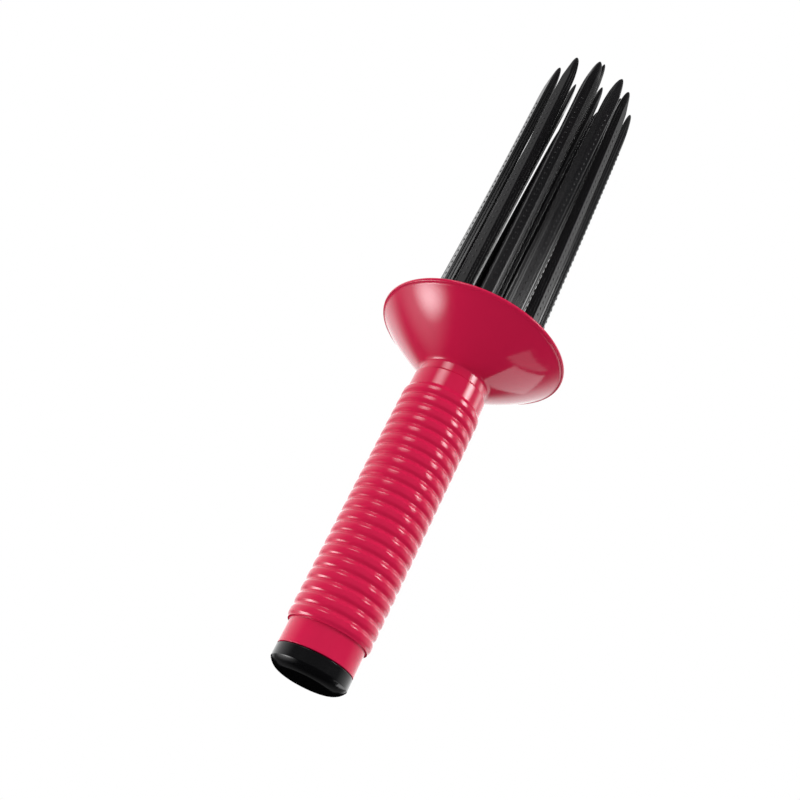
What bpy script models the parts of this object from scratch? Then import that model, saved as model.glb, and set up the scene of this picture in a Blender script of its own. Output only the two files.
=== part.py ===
"""Styling comb: long upright teeth in a dish on a ribbed handle.

The comb stands on its end cap. Its axis is +Z, it is seen from the -Y side,
and every length is in metres.
"""
import math

import bmesh
import bpy
from mathutils import Matrix

# Fits between pieces
FIT_GAP = 0.0003
CUT_OVERRUN = 0.0010
MERGE_DISTANCE = 0.00001

# End cap
CAP_FACE_RADIUS = 0.0098
CAP_DOME_HEIGHT = 0.0028
CAP_DOME_BULGE = 0.0006
CAP_WALL_HEIGHT = 0.0045
CAP_FLOOR_THICKNESS = 0.0024
CAP_SKIRT_LENGTH = 0.0090
CAP_SKIRT_WALL = 0.0018

# Handle
BAND_RADIUS = 0.01430
BAND_LENGTH = 0.01085
HANDLE_WALL = 0.0025
RIB_COUNT = 21
RIB_PITCH = 0.00472
TOP_RIB_WIDTH = 0.0035
RIB_GROOVE_RADIUS = 0.01455
RIB_HEIGHT = 0.00125
CUFF_RADIUS = 0.01460
CUFF_LENGTH = 0.0077
CUFF_EDGE = 0.0004

# Dish
NECK_RADIUS = 0.0137
NECK_LENGTH = 0.0049
NECK_ROUND = 0.0008
SPIGOT_LENGTH = 0.0100
SPIGOT_WALL = 0.0020
RIM_RADIUS = 0.0386
RIM_LIP_HEIGHT = 0.0016
RIM_LIP_STEP = 0.0004
RIM_EDGE_WIDTH = 0.0018
BOWL_DEPTH = 0.0187
BOWL_BULGE = 0.0009
BOWL_WALL = 0.0020
WEB_THICKNESS = 0.0025
WEB_TOP_RADIUS = 0.0115
SEAT_DEPTH = 0.0089
SEAT_WIDTH = 0.0012

# Base plate and the slotted plate over it, which trap the feet of the teeth
BASE_PLATE_RADIUS = 0.0246
BASE_PLATE_THICKNESS = 0.0022
HUB_RADIUS = 0.0060
SLOTTED_PLATE_RADIUS = 0.0258
SLOTTED_PLATE_THICKNESS = 0.0042
SLOTTED_PLATE_EDGE = 0.0008
FOOT_FLANGE = 0.0007
FOOT_THICKNESS = 0.0015

# Teeth
OUTER_TOOTH_COUNT = 12
OUTER_TOOTH_REACH = 0.1477
OUTER_TOOTH_WIDTH = 0.0070
OUTER_TOOTH_DEPTH = 0.0038
OUTER_FACE_RADIUS = 0.0237
OUTER_TIP_LEAN = 0.0019
INNER_TOOTH_COUNT = 4
INNER_TOOTH_REACH = 0.1548
INNER_TOOTH_WIDTH = 0.0046
INNER_TOOTH_DEPTH = 0.0032
INNER_FACE_RADIUS = 0.0135
TIP_LENGTH = 0.0220

# Long screw that draws the base plate's hub down on the dish
HUB_SCREW_RADIUS = 0.0015
HUB_SCREW_BITE = 0.0060
HUB_SCREW_HEAD_RADIUS = 0.0036
HUB_SCREW_HEAD_HEIGHT = 0.0020
HUB_SCREW_SOCKET_RADIUS = 0.0015
HUB_SCREW_SOCKET_DEPTH = 0.0011

# Short screws that hold the two plates together
PLATE_SCREW_COUNT = 3
PLATE_SCREW_CIRCLE = 0.0163
PLATE_SCREW_RADIUS = 0.0009
PLATE_SCREW_BITE = 0.0024
PLATE_SCREW_HEAD_RADIUS = 0.0017
PLATE_SCREW_HEAD_HEIGHT = 0.0012
PLATE_SCREW_SOCKET_RADIUS = 0.0008
PLATE_SCREW_SOCKET_DEPTH = 0.0006

# Directions round the axis
TOOTH_RING_START = math.radians(-11.0)
PLATE_SCREW_START = math.radians(49.0)

# Sides of the turned pieces
HANDLE_SIDES = 24
CAP_SIDES = 24
DISH_SIDES = 40
PLATE_SIDES = 40
SCREW_SIDES = 12
HEX_SIDES = 6

# Share of a screw head's radius left at its foot
SCREW_HEAD_SHARE = 0.8

# Points along one rib: share of its width, and share of its height
RIB_SHARES = ((0.0, 0.0), (0.20, 0.55), (0.50, 1.0), (0.80, 0.55))

# Half of a tooth's section, from its flat outward face down its slanted flank
# and round to its back: share of the half width, and share of the depth
SECTION_SHARES = ((0.50, 0.0), (0.56, 0.06), (0.78, 0.40), (1.0, 0.76), (0.82, 1.0))

# Depth share at which a tooth comes to its point, and sections up the point
APEX_DEPTH_SHARE = 0.55
TIP_SECTIONS = 6
BLADE_SECTIONS = 3

# The teeth are slim and springy, and none stands quite straight. Each pair is
# how far the tip has bent outward and sideways, as shares of the tooth's reach
OUTER_BEND_SHARES = (
    (-0.009, -0.022),
    (0.0, -0.006),
    (0.006, 0.004),
    (0.004, 0.006),
    (-0.016, 0.010),
    (0.0, 0.006),
    (0.0, 0.0),
    (0.005, 0.002),
    (0.015, 0.0),
    (0.009, 0.0),
    (-0.007, -0.009),
    (-0.014, 0.005),
)
INNER_BEND_SHARES = ((-0.003, -0.014), (0.018, 0.018), (-0.006, 0.018), (0.014, 0.0))
CENTRE_BEND_SHARES = (0.005, -0.010)

# Heights from the foot up
CAP_TOP_Z = CAP_DOME_HEIGHT + CAP_WALL_HEIGHT
SKIRT_TOP_Z = CAP_TOP_Z + CAP_SKIRT_LENGTH
HANDLE_FOOT_Z = CAP_TOP_Z + FIT_GAP
RIBS_FOOT_Z = CAP_TOP_Z + BAND_LENGTH
RIBS_TOP_Z = RIBS_FOOT_Z + (RIB_COUNT - 1) * RIB_PITCH + TOP_RIB_WIDTH
HANDLE_TOP_Z = RIBS_TOP_Z + CUFF_LENGTH
NECK_FOOT_Z = HANDLE_TOP_Z + FIT_GAP
SPIGOT_FOOT_Z = NECK_FOOT_Z - SPIGOT_LENGTH
BOWL_FOOT_Z = NECK_FOOT_Z + NECK_LENGTH
WEB_TOP_Z = BOWL_FOOT_Z + BOWL_WALL
WEB_FOOT_Z = WEB_TOP_Z - WEB_THICKNESS
RIM_Z = BOWL_FOOT_Z + BOWL_DEPTH
SEAT_Z = RIM_Z - SEAT_DEPTH
BASE_PLATE_Z = SEAT_Z + FIT_GAP
BASE_PLATE_TOP_Z = BASE_PLATE_Z + BASE_PLATE_THICKNESS
SLOTTED_PLATE_Z = BASE_PLATE_TOP_Z + FIT_GAP
SLOTTED_PLATE_TOP_Z = SLOTTED_PLATE_Z + SLOTTED_PLATE_THICKNESS
HUB_FOOT_Z = WEB_TOP_Z + FIT_GAP
HUB_SCREW_TOP_Z = HUB_FOOT_Z + HUB_SCREW_BITE
PLATE_SCREW_TOP_Z = SLOTTED_PLATE_Z + PLATE_SCREW_BITE

# Radii that follow from the pieces they fit
BORE_RADIUS = BAND_RADIUS - HANDLE_WALL
PLUG_RADIUS = BORE_RADIUS - FIT_GAP
NECK_BORE_RADIUS = PLUG_RADIUS - SPIGOT_WALL
SEAT_RADIUS = BASE_PLATE_RADIUS + FIT_GAP
HUB_BORE_RADIUS = HUB_SCREW_RADIUS + FIT_GAP
PLATE_HOLE_RADIUS = PLATE_SCREW_RADIUS + FIT_GAP
CENTRE_FACE_RADIUS = INNER_TOOTH_DEPTH / 2


def clear_scene():
    """Remove what the file holds."""
    for old in list(bpy.data.objects):
        bpy.data.objects.remove(old, do_unlink=True)


def make_collection(name):
    """New collection in the scene."""
    collection = bpy.data.collections.new(name)
    bpy.context.scene.collection.children.link(collection)
    return collection


def make_material(name, color, roughness, metallic=0.0):
    """Principled surface of one colour."""
    material = bpy.data.materials.new(name)
    material.use_nodes = True
    shader = material.node_tree.nodes["Principled BSDF"]
    shader.inputs["Base Color"].default_value = (*color, 1.0)
    shader.inputs["Roughness"].default_value = roughness
    shader.inputs["Metallic"].default_value = metallic
    material.diffuse_color = (*color, 1.0)
    return material


def finish_mesh(name, bm, collection, material=None):
    """Put a bmesh into a new object of the collection."""
    mesh = bpy.data.meshes.new(name)
    bm.normal_update()
    bm.to_mesh(mesh)
    bm.free()
    if material:
        mesh.materials.append(material)
    mesh.shade_smooth()
    mesh.set_sharp_from_angle(angle=math.radians(32.0))
    piece = bpy.data.objects.new(name, mesh)
    collection.objects.link(piece)
    return piece


def turn(name, profile, sides, closed, collection, material):
    """Turn a half profile of (radius, height) points about the Z axis.

    The profile runs down the outer side and back up the inner side. An open
    one begins and ends on the axis.
    """
    bm = bmesh.new()
    verts = [bm.verts.new((radius, 0.0, height)) for radius, height in profile]
    for first, second in zip(verts, verts[1:]):
        bm.edges.new((first, second))
    if closed:
        bm.edges.new((verts[-1], verts[0]))
    piece = finish_mesh(name, bm, collection, material)
    screw = piece.modifiers.new("turn", "SCREW")
    screw.axis = "Z"
    screw.angle = math.tau
    screw.steps = sides
    screw.render_steps = sides
    screw.use_merge_vertices = True
    screw.merge_threshold = MERGE_DISTANCE
    screw.use_smooth_shade = True
    return piece


def arc(start, end, bulge, steps):
    """Points of a circular arc, with its bulge to the left of start to end."""
    (r0, z0), (r1, z1) = start, end
    chord = math.hypot(r1 - r0, z1 - z0)
    left = (-(z1 - z0) / chord, (r1 - r0) / chord)
    radius = (chord * chord / 4 + bulge * bulge) / (2 * bulge)
    half_angle = math.asin(chord / 2 / radius)
    points = []
    for step in range(steps + 1):
        angle = half_angle * (2 * step / steps - 1)
        along = radius * math.sin(angle) / chord + 0.5
        rise = radius * math.cos(angle) - radius + bulge
        points.append((
            r0 + (r1 - r0) * along + left[0] * rise,
            z0 + (z1 - z0) * along + left[1] * rise,
        ))
    return points


def corner(centre, radius, start_angle, end_angle, steps):
    """Points of a round corner about its centre."""
    points = []
    for step in range(steps + 1):
        angle = start_angle + (end_angle - start_angle) * step / steps
        points.append((
            centre[0] + radius * math.cos(angle),
            centre[1] + radius * math.sin(angle),
        ))
    return points


def rib_profile():
    """Outer side of the ribs, from the top rib down to the lower band."""
    points = []
    foot = RIBS_FOOT_Z
    for width in [RIB_PITCH] * (RIB_COUNT - 1) + [TOP_RIB_WIDTH]:
        for along, rise in RIB_SHARES:
            points.append((RIB_GROOVE_RADIUS + RIB_HEIGHT * rise, foot + width * along))
        foot += width
    points.append((RIB_GROOVE_RADIUS, foot))
    points.reverse()
    return points


def build_handle(collection, material):
    """Hollow grip: plain cuff, round ribs, and a plain band at the foot."""
    profile = [
        (CUFF_RADIUS - CUFF_EDGE, HANDLE_TOP_Z),
        (CUFF_RADIUS, HANDLE_TOP_Z - CUFF_EDGE),
        (CUFF_RADIUS, RIBS_TOP_Z),
    ]
    profile += rib_profile()
    profile += [
        (BAND_RADIUS, RIBS_FOOT_Z),
        (BAND_RADIUS, HANDLE_FOOT_Z),
        (BORE_RADIUS, HANDLE_FOOT_Z),
        (BORE_RADIUS, HANDLE_TOP_Z),
    ]
    return turn("handle", profile, HANDLE_SIDES, True, collection, material)


def build_end_cap(collection, material):
    """Plug with a shallow domed end, a flat foot and a skirt in the grip."""
    skirt_bore = PLUG_RADIUS - CAP_SKIRT_WALL
    profile = [
        (0.0, CAP_FLOOR_THICKNESS),
        (skirt_bore, CAP_FLOOR_THICKNESS),
        (skirt_bore, SKIRT_TOP_Z),
        (PLUG_RADIUS, SKIRT_TOP_Z),
        (PLUG_RADIUS, CAP_TOP_Z),
        (BAND_RADIUS, CAP_TOP_Z),
    ]
    profile += arc((BAND_RADIUS, CAP_DOME_HEIGHT), (CAP_FACE_RADIUS, 0.0), CAP_DOME_BULGE, 4)
    profile.append((0.0, 0.0))
    return turn("end_cap", profile, CAP_SIDES, False, collection, material)


def build_dish(collection, material):
    """Wide shallow guard with a rolled lip, a neck and a spigot below it."""
    edge = RIM_LIP_HEIGHT / 2
    lip_centre = (RIM_RADIUS - edge, RIM_Z - edge)
    profile = corner(lip_centre, edge, math.pi / 2, -math.pi / 3, 5)
    bowl_start = (RIM_RADIUS - edge / 2 - RIM_LIP_STEP, RIM_Z - RIM_LIP_HEIGHT)
    bowl_end = (NECK_RADIUS + NECK_ROUND, BOWL_FOOT_Z)
    profile += arc(bowl_start, bowl_end, BOWL_BULGE, 8)
    web_hole_radius = HUB_BORE_RADIUS + FIT_GAP
    profile += [
        (NECK_RADIUS, BOWL_FOOT_Z - NECK_ROUND),
        (NECK_RADIUS, NECK_FOOT_Z),
        (PLUG_RADIUS, NECK_FOOT_Z),
        (PLUG_RADIUS, SPIGOT_FOOT_Z),
        (NECK_BORE_RADIUS, SPIGOT_FOOT_Z),
        (NECK_BORE_RADIUS, WEB_FOOT_Z),
        (web_hole_radius, WEB_FOOT_Z),
        (web_hole_radius, WEB_TOP_Z),
        (WEB_TOP_RADIUS, WEB_TOP_Z),
        (SEAT_RADIUS - SEAT_WIDTH, SEAT_Z),
        (SEAT_RADIUS, SEAT_Z),
    ]
    wall_foot = (SEAT_RADIUS + BOWL_WALL / 4, SEAT_Z + BOWL_WALL / 2)
    wall_top = (RIM_RADIUS - RIM_EDGE_WIDTH, RIM_Z - edge)
    profile += arc(wall_foot, wall_top, -BOWL_BULGE / 2, 4)
    return turn("dish", profile, DISH_SIDES, True, collection, material)


def section_outline(width, depth, margin):
    """Tooth section with a margin all round, counter-clockwise from above.

    x runs across the tooth. y runs outward, and is 0 on the outward face.
    """
    half = width / 2 + margin
    whole_depth = depth + 2 * margin
    right = [(half * across, margin - whole_depth * back) for across, back in SECTION_SHARES]
    left = [(-x, y) for x, y in right]
    return left + right[::-1]


def add_section(bm, outline, height, scale=1.0, centre_y=0.0, shift=(0.0, 0.0)):
    """Loop of vertices: the outline shrunk towards its apex and shifted."""
    return [
        bm.verts.new((
            x * scale + shift[0],
            centre_y + (y - centre_y) * scale + shift[1],
            height,
        ))
        for x, y in outline
    ]


def join_sections(bm, sections):
    """Skin of quads over a stack of sections, from the lowest up."""
    count = len(sections[0])
    for lower, upper in zip(sections, sections[1:]):
        for index in range(count):
            after = (index + 1) % count
            bm.faces.new((lower[index], lower[after], upper[after], upper[index]))
    bm.faces.new(sections[0][::-1])


def blade_stations(root_z, reach):
    """Height and scale of the blade's sections, from the root to the tip.

    The point narrows as a quarter ellipse does, so the tooth ends in an arch.
    """
    shoulder_z = RIM_Z + reach - TIP_LENGTH
    stations = []
    for step in range(BLADE_SECTIONS + 1):
        stations.append((root_z + (shoulder_z - root_z) * step / BLADE_SECTIONS, 1.0))
    for step in range(1, TIP_SECTIONS):
        angle = math.pi / 2 * step / TIP_SECTIONS
        stations.append((shoulder_z + TIP_LENGTH * math.sin(angle), math.cos(angle)))
    return stations


def build_tooth(name, place, sizes, bend_shares, collection, material):
    """One tooth: flanged foot, straight root in its slot, and springy blade."""
    angle, face_radius = place
    width, depth, reach, lean = sizes
    foot_top_z = SLOTTED_PLATE_Z + FOOT_THICKNESS
    outline = section_outline(width, depth, 0.0)
    foot = section_outline(width, depth, FOOT_FLANGE)
    apex_y = -depth * APEX_DEPTH_SHARE
    tip_z = RIM_Z + reach
    bm = bmesh.new()
    sections = [
        add_section(bm, foot, SLOTTED_PLATE_Z),
        add_section(bm, foot, foot_top_z),
        add_section(bm, outline, foot_top_z),
    ]

    def shift_at(height):
        """Lean grows evenly up the blade, and bend with the square."""
        share = (height - SLOTTED_PLATE_TOP_Z) / (tip_z - SLOTTED_PLATE_TOP_Z)
        outward, sideways = (part * reach * share * share for part in bend_shares)
        return (sideways, outward - lean * share)

    for height, scale in blade_stations(SLOTTED_PLATE_TOP_Z, reach):
        sections.append(add_section(bm, outline, height, scale, apex_y, shift_at(height)))
    join_sections(bm, sections)
    tip_shift = shift_at(tip_z)
    tip = bm.verts.new((tip_shift[0], apex_y + tip_shift[1], tip_z))
    last = sections[-1]
    for index, vert in enumerate(last):
        bm.faces.new((vert, last[(index + 1) % len(last)], tip))
    tooth = finish_mesh(name, bm, collection, material)
    tooth.location = (face_radius * math.cos(angle), face_radius * math.sin(angle), 0.0)
    tooth.rotation_euler = (0.0, 0.0, angle - math.pi / 2)
    return tooth


def tooth_places():
    """Angle and face radius of the outer ring, the inner ring and the centre."""
    outer = [
        (TOOTH_RING_START + math.tau * index / OUTER_TOOTH_COUNT, OUTER_FACE_RADIUS)
        for index in range(OUTER_TOOTH_COUNT)
    ]
    inner = [
        (TOOTH_RING_START + math.tau * index / INNER_TOOTH_COUNT, INNER_FACE_RADIUS)
        for index in range(INNER_TOOTH_COUNT)
    ]
    centre = (TOOTH_RING_START - math.pi / 2, CENTRE_FACE_RADIUS)
    return outer, inner, centre


def build_teeth(collection, material):
    """Outer ring, longer and slimmer inner ring, and one tooth in the middle."""
    outer, inner, centre = tooth_places()
    outer_sizes = (OUTER_TOOTH_WIDTH, OUTER_TOOTH_DEPTH, OUTER_TOOTH_REACH, OUTER_TIP_LEAN)
    inner_sizes = (INNER_TOOTH_WIDTH, INNER_TOOTH_DEPTH, INNER_TOOTH_REACH, 0.0)
    teeth = []
    for number, (place, bend) in enumerate(zip(outer, OUTER_BEND_SHARES), 1):
        name = f"outer_tooth_{number:02d}"
        teeth.append(build_tooth(name, place, outer_sizes, bend, collection, material))
    for number, (place, bend) in enumerate(zip(inner, INNER_BEND_SHARES), 1):
        name = f"inner_tooth_{number}"
        teeth.append(build_tooth(name, place, inner_sizes, bend, collection, material))
    teeth.append(
        build_tooth("centre_tooth", centre, inner_sizes, CENTRE_BEND_SHARES, collection, material)
    )
    return teeth


def add_slot(bm, place, width, depth):
    """Cutter for one slot: wide recess for the foot, and the slot over it."""
    angle, face_radius = place
    recess = section_outline(width, depth, FOOT_FLANGE + FIT_GAP)
    slot = section_outline(width, depth, FIT_GAP)
    recess_top_z = SLOTTED_PLATE_Z + FOOT_THICKNESS + FIT_GAP
    sections = [
        add_section(bm, recess, SLOTTED_PLATE_Z - CUT_OVERRUN),
        add_section(bm, recess, recess_top_z),
        add_section(bm, slot, recess_top_z),
        add_section(bm, slot, SLOTTED_PLATE_TOP_Z + CUT_OVERRUN),
    ]
    join_sections(bm, sections)
    bm.faces.new(sections[-1])
    turn_to_place = Matrix.Rotation(angle - math.pi / 2, 4, "Z")
    move_out = Matrix.Translation((face_radius * math.cos(angle), face_radius * math.sin(angle), 0.0))
    verts = [vert for section in sections for vert in section]
    bmesh.ops.transform(bm, matrix=move_out @ turn_to_place, verts=verts)


def add_cylinder(bm, radius, sides, foot_z, top_z, centre=(0.0, 0.0)):
    """Upright closed cylinder or prism."""
    middle = Matrix.Translation((*centre, (foot_z + top_z) / 2))
    bmesh.ops.create_cone(
        bm,
        cap_ends=True,
        segments=sides,
        radius1=radius,
        radius2=radius,
        depth=top_z - foot_z,
        matrix=middle,
    )


def make_cutter(name, bm, cutters):
    """Guide object that is only cut away from others."""
    cutter = finish_mesh(name, bm, cutters)
    cutter.hide_render = True
    cutter.display_type = "WIRE"
    return cutter


def cut(piece, cutter):
    """Take the cutter out of the piece."""
    boolean = piece.modifiers.new(cutter.name, "BOOLEAN")
    boolean.operation = "DIFFERENCE"
    boolean.solver = "EXACT"
    boolean.object = cutter


def plate_screw_centres():
    """Places of the short screws, between the two rings of teeth."""
    centres = []
    for index in range(PLATE_SCREW_COUNT):
        angle = PLATE_SCREW_START + math.tau * index / PLATE_SCREW_COUNT
        centres.append((PLATE_SCREW_CIRCLE * math.cos(angle), PLATE_SCREW_CIRCLE * math.sin(angle)))
    return centres


def build_plates(collection, cutters, material):
    """Base plate with its hub, and the slotted plate that the teeth fill."""
    hub_bore_top_z = HUB_SCREW_TOP_Z + FIT_GAP
    base_profile = [
        (0.0, BASE_PLATE_TOP_Z),
        (BASE_PLATE_RADIUS, BASE_PLATE_TOP_Z),
        (BASE_PLATE_RADIUS, BASE_PLATE_Z),
        (HUB_RADIUS, BASE_PLATE_Z),
        (HUB_RADIUS, HUB_FOOT_Z),
        (HUB_BORE_RADIUS, HUB_FOOT_Z),
        (HUB_BORE_RADIUS, hub_bore_top_z),
        (0.0, hub_bore_top_z),
    ]
    base_plate = turn("base_plate", base_profile, PLATE_SIDES, False, collection, material)
    slotted_profile = [
        (0.0, SLOTTED_PLATE_TOP_Z),
        (SLOTTED_PLATE_RADIUS - SLOTTED_PLATE_EDGE, SLOTTED_PLATE_TOP_Z),
        (SLOTTED_PLATE_RADIUS, SLOTTED_PLATE_TOP_Z - SLOTTED_PLATE_EDGE),
        (SLOTTED_PLATE_RADIUS, SLOTTED_PLATE_Z),
        (0.0, SLOTTED_PLATE_Z),
    ]
    slotted_plate = turn(
        "slotted_plate", slotted_profile, PLATE_SIDES, False, collection, material
    )
    outer, inner, centre = tooth_places()
    bm = bmesh.new()
    for place in outer:
        add_slot(bm, place, OUTER_TOOTH_WIDTH, OUTER_TOOTH_DEPTH)
    for place in inner + [centre]:
        add_slot(bm, place, INNER_TOOTH_WIDTH, INNER_TOOTH_DEPTH)
    cut(slotted_plate, make_cutter("tooth_slots", bm, cutters))
    bm = bmesh.new()
    hole_top_z = PLATE_SCREW_TOP_Z + FIT_GAP
    for spot in plate_screw_centres():
        add_cylinder(
            bm, PLATE_HOLE_RADIUS, SCREW_SIDES, BASE_PLATE_Z - CUT_OVERRUN, hole_top_z, spot
        )
    holes = make_cutter("plate_screw_holes", bm, cutters)
    cut(slotted_plate, holes)
    cut(base_plate, holes)
    return [base_plate, slotted_plate]


def build_screw(name, sizes, head_top_z, tip_z, spot, collection, cutters, material):
    """Pan-headed screw, head down, with a six-sided socket in its head."""
    radius, head_radius, head_height, socket_radius, socket_depth = sizes
    head_foot_z = head_top_z - head_height
    profile = [
        (0.0, tip_z),
        (radius / 2, tip_z),
        (radius, tip_z - radius),
        (radius, head_top_z),
        (head_radius, head_top_z),
        (head_radius, head_foot_z + head_height / 2),
        (head_radius * SCREW_HEAD_SHARE, head_foot_z),
        (0.0, head_foot_z),
    ]
    screw = turn(name, profile, SCREW_SIDES, False, collection, material)
    screw.location = (*spot, 0.0)
    bm = bmesh.new()
    add_cylinder(
        bm, socket_radius, HEX_SIDES, head_foot_z - CUT_OVERRUN, head_foot_z + socket_depth, spot
    )
    cut(screw, make_cutter(name + "_socket", bm, cutters))
    return screw


def build_screws(collection, cutters, material):
    """Hub screw up through the dish, and short screws up through the plates."""
    hub_sizes = (
        HUB_SCREW_RADIUS,
        HUB_SCREW_HEAD_RADIUS,
        HUB_SCREW_HEAD_HEIGHT,
        HUB_SCREW_SOCKET_RADIUS,
        HUB_SCREW_SOCKET_DEPTH,
    )
    head_top_z = WEB_FOOT_Z - FIT_GAP
    screws = [
        build_screw(
            "hub_screw", hub_sizes, head_top_z, HUB_SCREW_TOP_Z, (0.0, 0.0),
            collection, cutters, material,
        )
    ]
    plate_sizes = (
        PLATE_SCREW_RADIUS,
        PLATE_SCREW_HEAD_RADIUS,
        PLATE_SCREW_HEAD_HEIGHT,
        PLATE_SCREW_SOCKET_RADIUS,
        PLATE_SCREW_SOCKET_DEPTH,
    )
    head_top_z = BASE_PLATE_Z - FIT_GAP
    for number, spot in enumerate(plate_screw_centres(), 1):
        screws.append(
            build_screw(
                f"plate_screw_{number}", plate_sizes, head_top_z, PLATE_SCREW_TOP_Z, spot,
                collection, cutters, material,
            )
        )
    return screws


def main():
    """Build every piece and hang it from one empty at the foot."""
    clear_scene()
    collection = make_collection("styling_comb")
    cutters = make_collection("cutters")
    pink = make_material("pink_plastic", (0.60, 0.012, 0.085), 0.28)
    black = make_material("black_plastic", (0.010, 0.010, 0.011), 0.30)
    tooth_black = make_material("tooth_plastic", (0.016, 0.016, 0.017), 0.45)
    steel = make_material("plated_steel", (0.55, 0.56, 0.58), 0.30, 1.0)
    foot = bpy.data.objects.new("comb_foot", None)
    collection.objects.link(foot)
    pieces = [
        build_end_cap(collection, black),
        build_handle(collection, pink),
        build_dish(collection, pink),
    ]
    pieces += build_plates(collection, cutters, black)
    pieces += build_screws(collection, cutters, steel)
    pieces += build_teeth(collection, tooth_black)
    for piece in pieces:
        piece.parent = foot


main()
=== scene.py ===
"""Round styling comb: the finished look of every piece, its materials and its stage.

The comb stands on its end cap, its axis is +Z, and -Y is the side that the camera sees.
Lengths are in metres, as in the frame.
"""
import math

import bpy
import numpy as np
from bpy.props import FloatProperty, FloatVectorProperty, IntProperty, PointerProperty
from mathutils import Matrix, Vector


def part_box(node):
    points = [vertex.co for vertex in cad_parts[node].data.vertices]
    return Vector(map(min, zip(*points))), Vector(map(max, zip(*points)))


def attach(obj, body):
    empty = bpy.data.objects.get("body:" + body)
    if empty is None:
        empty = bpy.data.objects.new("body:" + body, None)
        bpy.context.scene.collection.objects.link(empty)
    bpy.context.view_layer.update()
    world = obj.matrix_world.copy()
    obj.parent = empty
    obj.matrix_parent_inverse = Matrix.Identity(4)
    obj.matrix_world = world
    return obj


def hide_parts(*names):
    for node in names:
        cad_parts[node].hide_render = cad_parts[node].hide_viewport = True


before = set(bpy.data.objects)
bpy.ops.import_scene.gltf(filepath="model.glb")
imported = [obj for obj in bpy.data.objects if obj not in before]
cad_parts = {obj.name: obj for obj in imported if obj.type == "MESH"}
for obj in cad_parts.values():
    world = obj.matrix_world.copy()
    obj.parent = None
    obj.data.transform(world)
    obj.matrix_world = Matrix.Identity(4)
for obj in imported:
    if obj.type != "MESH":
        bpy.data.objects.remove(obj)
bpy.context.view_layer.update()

bl_info = {
    "name": "Round styling comb",
    "version": (1, 0, 0),
    "blender": (4, 5, 0),
    "location": "3D View > Sidebar > Comb",
    "description": "Builds the pieces of a round styling comb, and a stage for it",
    "category": "Add Mesh",
}

HANDLE_LOW, HANDLE_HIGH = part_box("handle")
CAP_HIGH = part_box("end_cap")[1]
DISH_LOW, DISH_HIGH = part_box("dish")
PLATE_LOW, PLATE_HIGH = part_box("slotted_plate")

# Air between a plug or a spigot and the bore that it is pressed into
FIT_GAP = 0.0003
# Height over which a plain part of the grip dips into the groove beside it
CREASE = 0.0002
# Length of the bore's wall that counts for the rounding of its two end corners
BORE_END = 0.004

# Inside of the dish: its spigot, the web across its neck, and the ledge for the plates
SPIGOT_WALL = 0.0020
WEB_RISE = 0.0020
WEB_THICKNESS = 0.0025
WEB_RADIUS = 0.0115
SCREW_HOLE_RADIUS = 0.0021
LEDGE_RADIUS = 0.0249
LEDGE_WIDTH = 0.0012
LEDGE_DEPTH = 0.0089
# Where the bowl's inner side starts, out from the ledge and up from it
INNER_START = (0.0005, 0.0010)
LIP_WIDTH = 0.0018
LIP_BULGE = 0.00028

# The plug at the foot
SKIRT_WALL = 0.0018
END_THICKNESS = 0.0024
DOME_BULGE = 0.0006

# Radii of the rings on which the outward faces of the teeth stand
OUTER_RING_RADIUS = 0.0237
INNER_RING_RADIUS = 0.0135
# Degrees from +X to the first tooth of each ring, and to the way the centre tooth faces
RING_TURN = -11.0
FRONT_TURN = -101.0
# How far an outer tooth leans inwards at its tip
OUTER_LEAN = 0.0019
# Share of a tooth's depth at which its apex lies
APEX_SHARE = 0.55
# Flange at the foot of a tooth: how far it stands out, and its height
FLANGE_MARGIN = 0.0007
FLANGE_HEIGHT = 0.0015
# The flat face fades away over this length, from this far below the tip
FADE_START = 0.013
FADE_LENGTH = 0.007
# Height of the lowest bump over the rim, and how deep a bump's foot lies in the face
BUMP_START = 0.0160
BUMP_SINK = 0.0002
BUMP_SIDES = 14
BUMP_RINGS = 5

# Point of the comb that the softboxes face
LIT_POINT = Vector((0.0, 0.0, 0.15))
# Softboxes: name, the way to each, the way of its width, distance, size and strength
SOFTBOXES = (
    ("top_softbox", (-0.58, -0.65, 0.485), (0.75, -0.66, 0.0), 1.1, (0.84, 0.56), 5.5),
    ("right_softbox", (0.717, -0.502, 0.484), (0.57, 0.82, 0.0), 1.1, (0.60, 0.60), 13.0),
    ("side_softbox", (0.87, 0.16, 0.45), (-0.18, 0.98, 0.0), 1.1, (0.60, 0.50), 2.5),
    ("left_softbox", (-0.75, 0.03, -0.66), (0.51, -0.75, -0.42), 0.6, (0.48, 0.24), 9.0),
    ("left_glow", (-0.78, 0.17, -0.60), (0.51, -0.75, -0.42), 0.68, (1.00, 0.70), 1.6),
)
# Cards, even up to their sharp edges: name, the ways to their corners, distance, strength
CARDS = (
    (
        "upper_card", ((0.57, -0.02, -0.82), (0.72, -0.02, -0.69), (0.82, 0.45, -0.36),
                       (0.80, 0.41, -0.44)), 0.6, 0.8,
    ),
    (
        "lower_card", ((0.69, 0.17, -0.71), (0.79, 0.53, -0.33), (0.56, 0.83, -0.10),
                       (0.54, 0.29, -0.79)), 0.6, 1.8,
    ),
)
# Corners of the black flag behind the foot, which keeps the plug's flat end dark
FLAG_CORNERS = (
    (-0.14, 0.26, -0.13), (0.14, 0.26, -0.13), (0.14, 0.26, 0.02), (-0.14, 0.26, 0.02),
)
# The way from the comb to the camera
TO_CAMERA = (0.008, -0.892, -0.452)

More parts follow.
